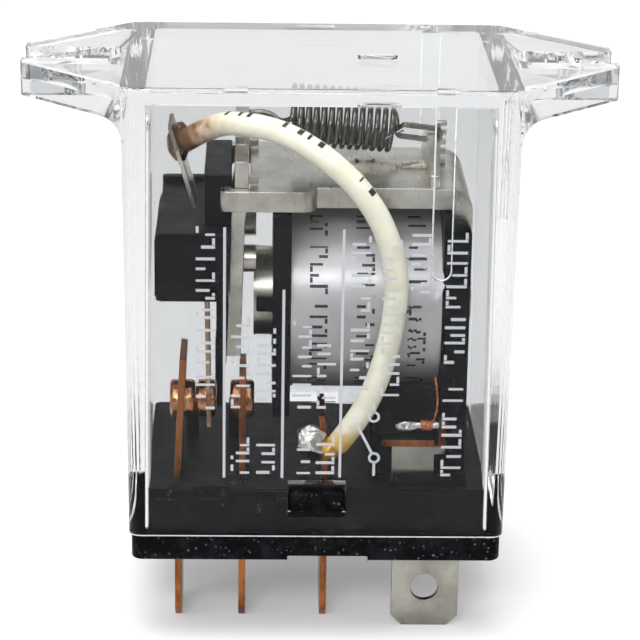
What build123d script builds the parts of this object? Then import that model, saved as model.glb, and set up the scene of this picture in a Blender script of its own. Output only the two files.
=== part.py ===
"""Plug-in relay with a clear flanged cover, built as separate pieces.

Frame: millimetres, +X to the right along the row of contact blades, +Y to the back, +Z up.
The origin is the centre of the base's seating face, so the plug blades reach below Z = 0.
"""
import os
from math import radians, tan

from build123d import *

os.makedirs("parts", exist_ok=True)

# ---------------------------------------------------------------- driving dimensions
case_length = 28.0            # along X, at the closed top of the cover
case_width = 21.5             # along Y, at the closed top of the cover
case_top = 35.5               # height of the cover above the seating face
cover_rim = 1.9               # lower rim of the cover, where it meets the base flange
case_draft = 0.3              # the cover is this much narrower on each side at its rim
rim_wall = 1.15               # wall at the rim
top_wall_x = 1.7              # end walls just under the top
top_wall_y = 1.5              # long walls just under the top
roof = 1.4                    # thickness of the closed top
case_corner = 0.9

ear_span = 43.0               # over both mounting ears
ear_depth = 2.4               # rib depth of an ear
ear_plate = 1.2
ear_tip_width = 6.3
ear_rib = 1.1
ear_pitch = 38.0              # between the two mounting slots
slot_radius = 1.8
recess_inner_end = 14.45      # the recess over a slot runs in almost to the end wall
recess_corner = 0.95
ear_sweep = 1.4               # radius where an ear's ribs run into the end wall
ear_overlap = 0.5             # how far that corner reaches into the wall

deck = 5.3                    # top of the moulded base inside the cover
flange_length = 27.0
flange_width = 20.8
seat_relief = 0.35            # depth of the reliefs in the seating face

blade_gauge = 0.5
blade_drop = 6.4              # blades below the seating face
blade_width = 4.8
contact_row_front = -6.9      # front edges of the contact blades
nc_x = -10.2
no_x = -5.45
com_x = 0.65
coil_blade_width = 5.0
coil_blade_x = 8.25
coil_blade_y = 7.5
wire_hole_radius = 1.05
wire_hole_drop = 3.3

contact_height = 10.7
contact_y = -4.5
contact_radius = 1.4

pin_height = 9.8              # coil pins, above the coil terminals
pin_radius = 0.28
pin_tip = 6.0
arm_left_face = 8.9           # arm of the terminal that holds the pin
wrap_left = 7.5
wrap_right = 8.5

coil_axis = 17.7              # height of the coil's axis
coil_radius = 7.15
tape_gauge = 0.2
bobbin_left = -3.3
winding_left = -2.0
winding_right = 8.9
bobbin_half = 7.2             # half the width of the bobbin flanges

yoke_gauge = 1.5
yoke_top = 27.3
yoke_half = 5.8
yoke_head_half = 7.1          # the wide end of the yoke at the armature
yoke_head_right = -0.2
yoke_right = 11.0
notch_half = 6.15
arm_left = -7.1

hinge_x = -5.6
hinge_z = 26.5
armature_gauge = 1.0
armature_half = 5.95
armature_bottom = 14.5
armature_shoulder = 29.2
armature_hook_top = 31.5

spring_y = 0.5
spring_radius = 1.7           # outside
spring_wire = 0.42
spring_left = -2.1
spring_right = 5.6
spring_left_z = 30.25
spring_right_z = 29.6

lead_diameter = 1.7

yoke_under = yoke_top - yoke_gauge
bobbin_top = yoke_under - 0.2
bobbin_bottom = coil_axis - bobbin_half - 0.3
leg_inner = yoke_right - yoke_gauge


def save(piece, name):
    """Label one finished piece and write its STEP file."""
    piece.part.label = name
    export_step(piece.part, f"parts/{name}.step")


# ---------------------------------------------------------------- clear cover
def ear_profile(side, level, ribs_only):
    """Plan of one mounting ear: its top layer with the long recess, or the ribs and slotted floor below it."""
    ear_root = side * (case_length / 2 - 1.0)
    ear_corner = side * case_length / 2
    ear_tip = side * ear_span / 2
    slot_centre = side * ear_pitch / 2
    recess_run = ear_span / 2 + 1.0 - recess_inner_end
    with BuildSketch(Plane.XY.offset(level)) as ear:
        with BuildLine():
            Polyline(
                (ear_root, case_width / 2 - 0.4),
                (ear_corner, case_width / 2 - 0.4),
                (ear_tip, ear_tip_width / 2),
                (ear_tip, -ear_tip_width / 2),
                (ear_corner, -case_width / 2 + 0.4),
                (ear_root, -case_width / 2 + 0.4),
                close=True,
            )
        make_face()
        fillet(ear.vertices().group_by(Axis.X)[0 if side < 0 else -1], radius=0.7)
        if ribs_only:
            offset(amount=-ear_rib, mode=Mode.SUBTRACT)
            with Locations((side * (recess_inner_end + ear_span / 2 - 1.0) / 2, 0)):
                Rectangle(ear_span / 2 + 0.8 - recess_inner_end, 2 * slot_radius + 1.8)
            with Locations((slot_centre, 0)):
                Circle(slot_radius, mode=Mode.SUBTRACT)
            with Locations((slot_centre + side * 2.0, 0)):
                Rectangle(4.0, 2 * slot_radius, mode=Mode.SUBTRACT)
        else:
            with Locations((side * (recess_inner_end + recess_run / 2), 0)):
                RectangleRounded(recess_run, 2 * slot_radius, recess_corner, mode=Mode.SUBTRACT)
    return ear


def ear_root_sweep(side):
    """The rounded corner where the ribs under one ear run down into the end wall."""
    under_ear = case_top - ear_depth
    wall = side * (case_length / 2 - case_draft * ear_depth / (case_top - cover_rim))
    with BuildPart() as corner:
        extrude(ear_profile(side, under_ear - ear_sweep, True).sketch, amount=ear_sweep)
        with BuildSketch(Plane.XZ.offset(-case_width / 2)):
            with Locations((wall + side * (ear_sweep - ear_overlap) / 2, under_ear - ear_sweep / 2)):
                Rectangle(ear_sweep + ear_overlap, ear_sweep)
            with Locations((wall + side * ear_sweep, under_ear - ear_sweep)):
                Circle(ear_sweep, mode=Mode.SUBTRACT)
        extrude(amount=case_width, mode=Mode.INTERSECT)
    return corner


with BuildPart() as clear_cover:
    # Drafted outside, wider at the closed top.
    with BuildSketch(Plane.XY.offset(cover_rim)):
        RectangleRounded(case_length - 2 * case_draft, case_width - 2 * case_draft, case_corner)
    with BuildSketch(Plane.XY.offset(case_top)):
        RectangleRounded(case_length, case_width, case_corner)
    loft()
    fillet(clear_cover.faces().sort_by(Axis.Z)[-1].edges(), radius=0.35)
    # Two ears: a recessed plate over ribs and a floor that has the open screw slot.
    for side in (-1, 1):
        extrude(ear_profile(side, case_top - ear_plate, False).sketch, amount=ear_plate)
        extrude(ear_profile(side, case_top - ear_depth, True).sketch, amount=ear_depth - ear_plate)
        add(ear_root_sweep(side).part)
    # Hollow inside.
    with BuildSketch(Plane.XY.offset(cover_rim)):
        RectangleRounded(
            case_length - 2 * (case_draft + rim_wall), case_width - 2 * (case_draft + rim_wall), 0.5
        )
    with BuildSketch(Plane.XY.offset(case_top - roof)):
        RectangleRounded(case_length - 2 * top_wall_x, case_width - 2 * top_wall_y, 0.5)
    loft(mode=Mode.SUBTRACT)
    # Latch windows in the front and back walls.
    with Locations((0, 0, 4.8)):
        Box(4.2, case_width + 2, 2.6, mode=Mode.SUBTRACT)
    # A round-ended guide rib down the inside of each long wall.
    for side in (-1, 1):
        rib_middle = side * (case_width / 2 - top_wall_y - 0.15)
        with BuildSketch(Plane.XZ.offset(-rib_middle - 0.45)):
            with Locations((8.65, 28.0)):
                SlotOverall(13.2, 1.4, rotation=90)
        extrude(amount=0.9)
    # Oval gate mark and two shallow ejector notches in the top.
    with BuildSketch(Plane.XY.offset(case_top)):
        with Locations((4.2, -0.5)):
            SlotOverall(3.2, 1.7)
            SlotOverall(2.4, 0.9, mode=Mode.SUBTRACT)
    extrude(amount=-0.3, mode=Mode.SUBTRACT)
    for notch_x in (-6.0, 8.7):
        with Locations((notch_x, -case_width / 2 + 0.2, case_top)):
            Box(1.6, 0.6, 0.5, mode=Mode.SUBTRACT)
save(clear_cover, "clear_cover")

# ---------------------------------------------------------------- moulded base
with BuildPart() as base_block:
    with BuildSketch(Plane.XY):
        RectangleRounded(flange_length, flange_width, 0.8)
    extrude(amount=cover_rim)
    fillet(base_block.faces().sort_by(Axis.Z)[0].edges(), radius=0.2)
    block_length = case_length - 2 * (case_draft + rim_wall) - 0.2
    block_width = case_width - 2 * (case_draft + rim_wall) - 0.2
    with BuildSketch(Plane.XY.offset(cover_rim)):
        RectangleRounded(block_length, block_width, 0.5)
    extrude(amount=deck - cover_rim)
    # Snap latches that show in the cover's windows.
    with Locations((0, 0, 4.4)):
        Box(3.9, block_width + 1.6, 1.4)
    # Reliefs in the middle of the front and back edges of the seating face.
    for side in (-1, 1):
        with Locations((0.85, side * flange_width / 2, seat_relief / 2)):
            Box(5.9, 6.0, seat_relief, mode=Mode.SUBTRACT)
    # Barrier ribs behind the contacts and a small key notch in the front edge of the deck.
    with Locations((-9.3, 2.4, deck + 1.3), (-6.1, 2.4, deck + 1.3)):
        Box(0.9, 2.0, 2.6)
    with Locations((-7.6, -block_width / 2, deck)):
        Box(2.5, 1.0, 1.4, mode=Mode.SUBTRACT)
    with Locations((3.0, -block_width / 2, deck - 0.6)):
        Box(1.6, 0.8, 2.6, mode=Mode.SUBTRACT)
    # Low ledges outside the coil blades.
    with Locations((8.3, -8.0, deck + 0.45), (8.3, 8.0, deck + 0.45)):
        Box(5.4, 0.5, 0.9)
    # Slots that grip the blades.
    blade_centre_y = contact_row_front + blade_width / 2
    with Locations((nc_x, blade_centre_y, 0), (no_x, blade_centre_y, 0), (com_x, blade_centre_y, 0)):
        Box(blade_gauge, blade_width, 4 * deck, mode=Mode.SUBTRACT)
    with Locations((coil_blade_x, -coil_blade_y, 0), (coil_blade_x, coil_blade_y, 0)):
        Box(coil_blade_width, blade_gauge, 4 * deck, mode=Mode.SUBTRACT)
save(base_block, "base_block")


# ---------------------------------------------------------------- contact blades
def contact_blade(path, drilled):
    """A flat strip that follows path in the XZ plane, with a chamfered plug end below the base."""
    with BuildPart() as strip:
        with BuildSketch(Plane.XZ.offset(-contact_row_front)):
            with BuildLine():
                Polyline(*path)
            trace(line_width=blade_gauge)
        extrude(amount=-blade_width)
        chamfer(strip.edges().filter_by(Axis.X).group_by(Axis.Z)[0], length=0.9)
        if drilled:
            with Locations(Plane.YZ):
                with Locations((contact_y, contact_height)):
                    Cylinder(0.7, 4 * case_length, mode=Mode.SUBTRACT)
    return strip


nc_terminal = contact_blade([(nc_x, -blade_drop), (nc_x, deck + 0.6), (-9.8, 14.5)], True)
save(nc_terminal, "nc_terminal")
no_terminal = contact_blade([(no_x, -blade_drop), (no_x, 13.4)], True)
save(no_terminal, "no_terminal")
com_terminal = contact_blade([(com_x, -blade_drop), (com_x, deck + 3.0), (0.35, 10.2)], False)
save(com_terminal, "com_terminal")


def coil_terminal(side):
    """A face-on plug blade whose inner end is folded in under the coil."""
    with BuildPart() as strip:
        with BuildSketch(Plane.XZ.offset(-side * coil_blade_y - blade_gauge / 2)) as outline:
            with Locations((coil_blade_x, (deck - blade_drop) / 2)):
                Rectangle(coil_blade_width, deck + blade_drop)
            with Locations((7.05, deck + 1.45)):
                Rectangle(3.1, 2.9)
            with Locations((arm_left_face, deck + 2.6)):
                Rectangle(1.0, 0.6)
            with Locations((arm_left_face + 0.25, (deck + 2.3 + pin_height + 0.4) / 2)):
                Rectangle(0.5, pin_height + 0.4 - deck - 2.3)
            chamfer(outline.vertices().group_by(Axis.Y)[0], length=0.8)
            with Locations((coil_blade_x - 0.05, -wire_hole_drop)):
                Circle(wire_hole_radius, mode=Mode.SUBTRACT)
        extrude(amount=blade_gauge)
        with Locations((6.7, side * (coil_blade_y - 0.45), deck + 3.15)):
            Box(3.8, blade_gauge + 0.9, blade_gauge)
    return strip


coil_terminal_front = coil_terminal(-1)
save(coil_terminal_front, "coil_terminal_front")
coil_terminal_rear = coil_terminal(1)
save(coil_terminal_rear, "coil_terminal_rear")


# ---------------------------------------------------------------- contact rivets
def contact_rivet(face_x, tail_x, strip):
    """A silver-faced rivet through a strip: a domed face on one side and a flat tail on the other."""
    length = abs(face_x - tail_x)
    middle = (face_x + tail_x) / 2
    with BuildPart() as rivet:
        with Locations(Location((middle, contact_y, contact_height), (0, 90, 0))):
            Cylinder(contact_radius, length)
        fillet(rivet.edges().filter_by(GeomType.CIRCLE), radius=0.3)
        add(strip.part, mode=Mode.SUBTRACT)
    return rivet


nc_contact = contact_rivet(-8.95, -10.8, nc_terminal)
save(nc_contact, "nc_contact")
no_contact = contact_rivet(-6.38, -4.6, no_terminal)
save(no_contact, "no_contact")

# ---------------------------------------------------------------- coil
with BuildPart() as coil_bobbin:
    flange_height = bobbin_top - bobbin_bottom
    flange_middle = (bobbin_top + bobbin_bottom) / 2
    # Left flange with small lugs that frame the pole face.
    with Locations(((bobbin_left + winding_left) / 2, 0, flange_middle)):
        Box(winding_left - bobbin_left, 2 * bobbin_half, flange_height)
    with Locations((bobbin_left - 0.6, -4.2, coil_axis + 0.3), (bobbin_left - 0.6, 4.2, coil_axis + 0.3)):
        Box(1.2, 0.9, 1.0)
    # Spool and right flange.
    with Locations(Location(((winding_left + winding_right) / 2, 0, coil_axis), (0, 90, 0))):
        Cylinder(3.6, winding_right - winding_left)
    with Locations(((winding_right + leg_inner) / 2, 0, flange_middle)):
        Box(leg_inner - winding_right, 2 * bobbin_half, flange_height)
    # Cheeks that wrap the yoke's leg down to the base.
    cheek_top = bobbin_top - 0.5
    cheek_inner = yoke_half + 0.15
    cheek_middle = (cheek_inner + bobbin_half) / 2
    cheek_right = yoke_right - 0.1
    with Locations(
        ((winding_right + cheek_right) / 2, -cheek_middle, (cheek_top + deck) / 2),
        ((winding_right + cheek_right) / 2, cheek_middle, (cheek_top + deck) / 2),
    ):
        Box(cheek_right - winding_right, bobbin_half - cheek_inner, cheek_top - deck)
    fillet(
        coil_bobbin.edges().filter_by(Axis.Y).group_by(Axis.X)[-1].group_by(Axis.Z)[-1], radius=0.9
    )
    # Foot under the coil, with aprons in front of and behind the winding.
    with Locations((6.65, 0, (deck + bobbin_bottom) / 2)):
        Box(5.5, 12.2, bobbin_bottom - deck)
    apron_bottom = 8.95
    apron_top = 12.6
    with Locations(
        (6.55, -6.5, (apron_bottom + apron_top) / 2),
        (6.55, 6.5, (apron_bottom + apron_top) / 2),
    ):
        Box(4.7, 1.0, apron_top - apron_bottom)
    # Bore for the core.
    with Locations(Location((3.0, 0, coil_axis), (0, 90, 0))):
        Cylinder(3.0, 20, mode=Mode.SUBTRACT)
save(coil_bobbin, "coil_bobbin")


def coil_sleeve(inner, outer):
    """A round layer of the coil, from flange to flange."""
    with BuildPart() as sleeve:
        with BuildSketch(Plane.YZ.offset(winding_left)):
            with Locations((0, coil_axis)):
                Circle(outer)
                Circle(inner, mode=Mode.SUBTRACT)
        extrude(amount=winding_right - winding_left)
    return sleeve


coil_winding = coil_sleeve(3.6, coil_radius - tape_gauge)
save(coil_winding, "coil_winding")
coil_tape = coil_sleeve(coil_radius - tape_gauge, coil_radius)
save(coil_tape, "coil_tape")

with BuildPart() as core:
    # Pole face, shaft through the bobbin, and the end staked over the yoke's leg.
    for left, right, radius in (
        (-4.7, bobbin_left, 3.35),
        (bobbin_left, leg_inner, 2.95),
        (leg_inner, yoke_right, 1.8),
        (yoke_right, yoke_right + 0.4, 2.3),
    ):
        with Locations(Location(((left + right) / 2, 0, coil_axis), (0, 90, 0))):
            Cylinder(radius, right - left)
save(core, "core")

with BuildPart() as yoke:
    # Bent strip: a flat top over the coil and a leg down to the base.
    with BuildSketch(Plane.XZ.offset(-yoke_half)) as elbow:
        with BuildLine():
            Polyline(
                (hinge_x + armature_gauge / 2 + 0.1, yoke_top),
                (yoke_right, yoke_top),
                (yoke_right, deck),
                (leg_inner, deck),
                (leg_inner, yoke_under),
                (hinge_x + armature_gauge / 2 + 0.1, yoke_under),
                close=True,
            )
        make_face()
        fillet(elbow.vertices().group_by(Axis.X)[-1].sort_by(Axis.Y)[-1], radius=1.7)
    extrude(amount=2 * yoke_half)
    # Wide head with two arms that reach past the armature and keep it in its notch.
    with BuildSketch(Plane.XY.offset(yoke_under)) as head:
        with Locations(((arm_left + yoke_head_right) / 2, 0)):
            Rectangle(yoke_head_right - arm_left, 2 * yoke_head_half)
        fillet(head.vertices().group_by(Axis.X)[-1], radius=1.1)
        fillet(head.vertices().group_by(Axis.X)[0], radius=0.5)
        notch_right = hinge_x + armature_gauge / 2 + 0.1
        notch_left = hinge_x - armature_gauge / 2 - 0.25
        with Locations(((notch_left + notch_right) / 2, 0)):
            Rectangle(notch_right - notch_left, 2 * notch_half, mode=Mode.SUBTRACT)
        with Locations((arm_left, 0)):
            Rectangle(2 * (notch_left - arm_left) + 0.1, 2 * (notch_half - 0.5), mode=Mode.SUBTRACT)
    extrude(amount=yoke_gauge)
    with Locations(Location((yoke_right - yoke_gauge / 2, 0, coil_axis), (0, 90, 0))):
        Cylinder(1.8, 2 * yoke_gauge, mode=Mode.SUBTRACT)
save(yoke, "yoke")

# ---------------------------------------------------------------- armature and what rides on it
armature_lean = 1.5           # at rest the lower end stands off to the left
lower_run = hinge_z - armature_bottom
with BuildPart() as armature:
    with BuildSketch(Plane.XZ.offset(-armature_half)):
        with BuildLine():
            Polyline(
                (hinge_x, armature_hook_top),
                (hinge_x, hinge_z),
                (hinge_x - 0.25, hinge_z - 1.6),
                (hinge_x - 0.25 - (lower_run - 1.6) * tan(radians(armature_lean)), armature_bottom),
            )
        trace(line_width=armature_gauge)
    extrude(amount=2 * armature_half)
    # Shoulders either side of the narrow tab that holds the spring.
    hook_half = 1.6
    shoulder_width = armature_half + 1 - hook_half
    for side in (-1, 1):
        shoulder_y = spring_y + side * (hook_half + shoulder_width)
        with Locations((hinge_x, shoulder_y, armature_shoulder + 5)):
            Box(4, 2 * shoulder_width, 10, mode=Mode.SUBTRACT)
        # A small semi-sheared lug that rests on the yoke.
        with Locations((hinge_x + armature_gauge / 2 + 0.35, side * 5.2, yoke_top + 0.45)):
            Box(0.7, 0.8, 0.5)
        # Undercuts that leave a T-shaped head on the tab.
        with Locations((hinge_x, spring_y + side * hook_half, armature_hook_top - 1.2)):
            Box(4, 1.2, 1.0, mode=Mode.SUBTRACT)
    with Locations(Location((hinge_x, spring_y, armature_hook_top - 0.75), (0, 90, 0))):
        Cylinder(0.4, 4, mode=Mode.SUBTRACT)
    with Locations(Location((hinge_x, -4.6, 21.6), (0, 90, 0)), Location((hinge_x, 4.6, 21.6), (0, 90, 0))):
        Cylinder(0.6, 6, mode=Mode.SUBTRACT)
save(armature, "armature")

carrier_right = -6.36
with BuildPart() as moving_blade:
    # Contact strip below the carrier, set back to a soldering tab above it.
    with BuildSketch(Plane.XZ.offset(6.6)):
        with BuildLine():
            Polyline((-7.92, 9.2), (-8.1, 19.1), (-8.1, 21.0))
        trace(line_width=0.28)
    extrude(amount=-4.4)
    with BuildSketch(Plane.XZ.offset(6.6)):
        with BuildLine():
            Polyline((-8.1, 20.9), (-8.9, 23.6))
        trace(line_width=0.28)
    extrude(amount=-10.6)
    with BuildSketch(Plane.XZ.offset(0.4)):
        with BuildLine():
            Polyline((-8.9, 23.5), (-10.9, 30.2))
        trace(line_width=0.28)
    extrude(amount=-4.4)
    with Locations(Location((-8, contact_y, contact_height), (0, 90, 0))):
        Cylinder(0.7, 4, mode=Mode.SUBTRACT)
save(moving_blade, "moving_blade")

with BuildPart() as moving_contact:
    with Locations(Location((-8.15, contact_y, contact_height), (0, 90, 0))):
        Cylinder(contact_radius, 1.5)
    fillet(moving_contact.edges().filter_by(GeomType.CIRCLE), radius=0.3)
    add(moving_blade.part, mode=Mode.SUBTRACT)
save(moving_contact, "moving_contact")

with BuildPart() as contact_carrier:
    # Insulating block on the back of the armature.
    with Locations((-9.05, 0, 21.65)):
        Box(5.5, 14.6, 5.1)
    fillet(contact_carrier.edges().filter_by(Axis.Y).group_by(Axis.X)[0], radius=0.6)
    with Locations((-9.05, 6.9, 24.4)):
        Box(5.3, 0.8, 0.5)
    with Locations((-7.35, 0.15, 25.85)):
        Box(1.9, 10.3, 4.1)
    # Skirt beside the armature and the pusher leg below it.
    with Locations((-6.95, -0.2, 16.5)):
        Box(0.9, 11.3, 5.4)
    with Locations((-7.25, 0.4, 11.4)):
        Box(0.6, 2.6, 5.4)
    # Clear of the armature's sloping face.
    add(armature.part, mode=Mode.SUBTRACT)
    with Locations(Location((hinge_x - 0.9, 0, 20), (0, armature_lean, 0))):
        Box(1.2, 30, 30, align=(Align.MIN, Align.CENTER, Align.CENTER), mode=Mode.SUBTRACT)
    add(moving_blade.part, mode=Mode.SUBTRACT)
save(contact_carrier, "contact_carrier")

with BuildPart() as armature_rivets:
    for side in (-1, 1):
        with Locations(Location((-5.0, side * 4.6, 21.6), (0, 90, 0))):
            Cylinder(1.0, 0.9)
        with Locations(Location((-6.0, side * 4.6, 21.6), (0, 90, 0))):
            Cylinder(0.6, 1.6)
    add(armature.part, mode=Mode.SUBTRACT)
    add(contact_carrier.part, mode=Mode.SUBTRACT)
save(armature_rivets, "armature_rivets")

# ---------------------------------------------------------------- coil ends
def pin_collar(side, left, right, inner, outer):
    """A round length on the axis of a coil pin: the pin itself, or a collar round it."""
    with BuildPart() as collar:
        with BuildSketch(Plane.YZ.offset(left)):
            with Locations((side * coil_blade_y, pin_height)):
                Circle(outer)
                if inner:
                    Circle(inner, mode=Mode.SUBTRACT)
        extrude(amount=right - left)
    return collar


def pin_solder(side):
    """A drop of solder over the free end of a coil pin."""
    with BuildPart() as drop:
        with BuildSketch(Plane.XZ.offset(-side * coil_blade_y)):
            with BuildLine():
                Polyline(
                    (pin_tip - 0.4, pin_height),
                    (pin_tip - 0.2, pin_height + 0.25),
                    (pin_tip + 0.3, pin_height + 0.44),
                    (wrap_left - 0.4, pin_height + 0.46),
                    (wrap_left, pin_height + 0.38),
                    (wrap_left, pin_height + pin_radius),
                    (pin_tip, pin_height + pin_radius),
                    (pin_tip, pin_height),
                    close=True,
                )
            make_face()
        revolve(axis=Axis((0, side * coil_blade_y, pin_height), (1, 0, 0)))
    return drop


coil_pin_front = pin_collar(-1, pin_tip, arm_left_face, 0, pin_radius)
save(coil_pin_front, "coil_pin_front")
coil_pin_rear = pin_collar(1, pin_tip, arm_left_face, 0, pin_radius)
save(coil_pin_rear, "coil_pin_rear")
coil_lead_front = pin_collar(-1, wrap_left, wrap_right, pin_radius, 0.42)
save(coil_lead_front, "coil_lead_front")
coil_lead_rear = pin_collar(1, wrap_left, wrap_right, pin_radius, 0.42)
save(coil_lead_rear, "coil_lead_rear")
pin_solder_front = pin_solder(-1)
save(pin_solder_front, "pin_solder_front")
pin_solder_rear = pin_solder(1)
save(pin_solder_rear, "pin_solder_rear")

# ---------------------------------------------------------------- return spring and its post
post_left = 7.9
post_gauge = 0.7
post_half = 5.6
post_top = 29.85
post_eye_height = 29.05
foot_gauge = 0.5
with BuildPart() as spring_post:
    # Upright plate across the yoke, narrowing to the eye that holds the spring.
    with BuildSketch(Plane.YZ.offset(post_left)):
        with BuildLine():
            Polyline(
                (-post_half, yoke_top),
                (post_half, yoke_top),
                (post_half, yoke_top + 0.9),
                (spring_y + 1.5, post_top),
                (spring_y - 1.5, post_top),
                (-post_half, yoke_top + 0.9),
                close=True,
            )
        make_face()
        with Locations((spring_y, post_eye_height)):
            Circle(0.4, mode=Mode.SUBTRACT)
    extrude(amount=post_gauge)
    # Foot that is staked to the yoke, joined to the plate by a narrow neck.
    with Locations((3.4, 0.1, yoke_top + foot_gauge / 2)):
        Box(4.6, 1.8, foot_gauge)
    with Locations((6.85, 0.1, yoke_top + foot_gauge / 2)):
        Box(2.4, 0.6, foot_gauge)
    # Toothed edge for setting the pull of the spring.
    tooth_right = post_left + post_gauge + 0.8
    with Locations((tooth_right - 0.4, spring_y + 1.0, yoke_top + 1.6)):
        Box(0.8, 0.6, 3.2)
    for tooth in range(4):
        with Locations((tooth_right, spring_y + 1.0, yoke_top + 0.6 + 0.7 * tooth)):
            Box(0.8, 1.2, 0.35, mode=Mode.SUBTRACT)
    with Locations((3.4, 0.1, yoke_top)):
        Cylinder(0.5, 4, mode=Mode.SUBTRACT)
save(spring_post, "spring_post")

with BuildPart() as post_rivet:
    with Locations((3.4, 0.1, yoke_top + foot_gauge / 2)):
        Cylinder(0.5, foot_gauge)
    with Locations((3.4, 0.1, yoke_top + foot_gauge + 0.1)):
        Cylinder(0.75, 0.2)
save(post_rivet, "post_rivet")

spring_slope = (spring_left_z - spring_right_z) / (spring_right - spring_left)
wire_half = spring_wire / 2
winding_circle = spring_radius - wire_half
with BuildPart() as return_spring:
    # Close-wound body, drawn as a tube.
    with BuildSketch(
        Plane(origin=(spring_left, spring_y, spring_left_z), x_dir=(0, 1, 0), z_dir=(1, 0, -spring_slope))
    ):
        Circle(spring_radius)
        Circle(spring_radius - spring_wire, mode=Mode.SUBTRACT)
    extrude(amount=spring_right - spring_left)
    # Left hook, through the hole in the armature's tab.
    hook_z = armature_hook_top - 0.75
    hook_start_z = spring_left_z + winding_circle
    with BuildLine():
        FilletPolyline(
            (spring_left + 0.2, spring_y, hook_start_z),
            (spring_left - 0.7, spring_y, hook_start_z),
            (hinge_x + 1.1, spring_y, hook_z),
            (hinge_x - 1.0, spring_y, hook_z),
            (hinge_x - 1.0, spring_y, hook_z - 1.1),
            radius=0.25,
        )
    with BuildSketch(Plane.YZ.offset(spring_left + 0.2)):
        with Locations((spring_y, hook_start_z)):
            Circle(wire_half)
    sweep()
    # Right loop, round the bar above the post's eye.
    loop_top = post_top + wire_half + 0.12
    loop_right = post_left + post_gauge + 0.45
    with BuildLine():
        FilletPolyline(
            (spring_right - 0.2, spring_y, spring_right_z + winding_circle),
            (spring_right + 0.25, spring_y, spring_right_z + winding_circle),
            (spring_right + 0.6, spring_y, loop_top),
            (loop_right, spring_y, loop_top),
            (loop_right, spring_y, post_eye_height),
            (spring_right + 0.5, spring_y, post_eye_height),
            radius=0.2,
        )
    with BuildSketch(Plane.YZ.offset(spring_right - 0.2)):
        with Locations((spring_y, spring_right_z + winding_circle)):
            Circle(wire_half)
    sweep()
save(return_spring, "return_spring")

# ---------------------------------------------------------------- flexible lead to the moving contact
lead_route = [
    Vector(-9.75, 0.3, 29.1),
    Vector(-7.7, -2.2, 31.0),
    Vector(-5.3, -4.5, 31.7),
    Vector(-2.4, -6.2, 31.4),
    Vector(0.4, -7.5, 30.0),
    Vector(2.9, -8.1, 27.8),
    Vector(4.7, -8.2, 24.9),
    Vector(5.6, -8.2, 21.4),
    Vector(5.4, -8.2, 18.1),
    Vector(4.8, -8.2, 15.1),
    Vector(3.9, -8.2, 12.4),
    Vector(2.8, -8.1, 10.2),
    Vector(1.45, -7.7, 8.25),
]
bend_radii = []
for before, corner, after in zip(lead_route, lead_route[1:], lead_route[2:]):
    run_in = corner - before
    run_out = after - corner
    half_turn = radians(run_in.get_angle(run_out)) / 2
    bend_radii.append(0.45 * min(run_in.length, run_out.length) / tan(half_turn))

with BuildPart() as lead_wire:
    with BuildLine():
        FilletPolyline(*lead_route, radius=bend_radii)
    with BuildSketch(Plane(origin=lead_route[0], z_dir=lead_route[1] - lead_route[0])):
        Circle(lead_diameter / 2)
    sweep()
save(lead_wire, "lead_wire")


def solder_blob(centre, half_width, half_height, buried):
    """A rounded blob of solder, cut away where it meets the pieces it joins."""
    with BuildPart() as blob:
        with BuildSketch(Plane.XZ.offset(-centre[1])):
            with Locations((centre[0], centre[2])):
                Ellipse(half_width, half_height)
            with Locations((centre[0] - half_width, centre[2])):
                Rectangle(2 * half_width, 3 * half_height, mode=Mode.SUBTRACT)
        revolve(axis=Axis(centre, (0, 0, 1)))
        for piece in buried:
            add(piece.part, mode=Mode.SUBTRACT)
    return blob


lead_solder = solder_blob((-10.3, 0.4, 29.1), 1.0, 1.6, [moving_blade, lead_wire])
save(lead_solder, "lead_solder")
com_solder = solder_blob((0.1, -7.0, 8.2), 1.35, 1.5, [com_terminal, lead_wire])
save(com_solder, "com_solder")
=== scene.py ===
"""Looks of the clear-cased plug-in relay: materials, the pieces that CAD only blocks in, and the studio.

Metres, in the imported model's frame: +X along the contact blades, +Y to the back, +Z up.
"""
import math
import random

import bmesh
import bpy
from mathutils import Matrix, Vector, noise


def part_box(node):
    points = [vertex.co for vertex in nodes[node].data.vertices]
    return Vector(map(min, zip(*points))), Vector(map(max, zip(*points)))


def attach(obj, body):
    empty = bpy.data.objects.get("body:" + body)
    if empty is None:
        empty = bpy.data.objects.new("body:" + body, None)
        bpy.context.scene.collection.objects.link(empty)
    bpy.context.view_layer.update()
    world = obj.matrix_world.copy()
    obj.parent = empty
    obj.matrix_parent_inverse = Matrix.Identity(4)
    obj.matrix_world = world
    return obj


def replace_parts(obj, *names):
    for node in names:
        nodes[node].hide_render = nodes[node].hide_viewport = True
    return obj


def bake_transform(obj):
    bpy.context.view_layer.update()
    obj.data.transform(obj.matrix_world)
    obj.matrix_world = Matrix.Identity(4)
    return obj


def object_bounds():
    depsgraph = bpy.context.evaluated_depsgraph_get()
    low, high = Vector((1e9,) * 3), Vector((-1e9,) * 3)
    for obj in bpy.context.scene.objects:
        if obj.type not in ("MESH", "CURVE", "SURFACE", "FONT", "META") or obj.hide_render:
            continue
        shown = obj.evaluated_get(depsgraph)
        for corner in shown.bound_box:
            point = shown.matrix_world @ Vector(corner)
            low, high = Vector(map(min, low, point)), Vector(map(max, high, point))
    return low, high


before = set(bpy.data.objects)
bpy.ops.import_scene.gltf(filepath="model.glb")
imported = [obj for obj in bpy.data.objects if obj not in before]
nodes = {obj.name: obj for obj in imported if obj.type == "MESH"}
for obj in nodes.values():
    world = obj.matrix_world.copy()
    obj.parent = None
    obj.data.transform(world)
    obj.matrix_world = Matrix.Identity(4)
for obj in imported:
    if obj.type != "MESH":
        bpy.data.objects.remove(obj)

cad_low, cad_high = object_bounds()

MM = 0.001


def middle(node):
    """The middle of a CAD node's box."""
    low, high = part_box(node)
    return (low + high) / 2


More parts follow.
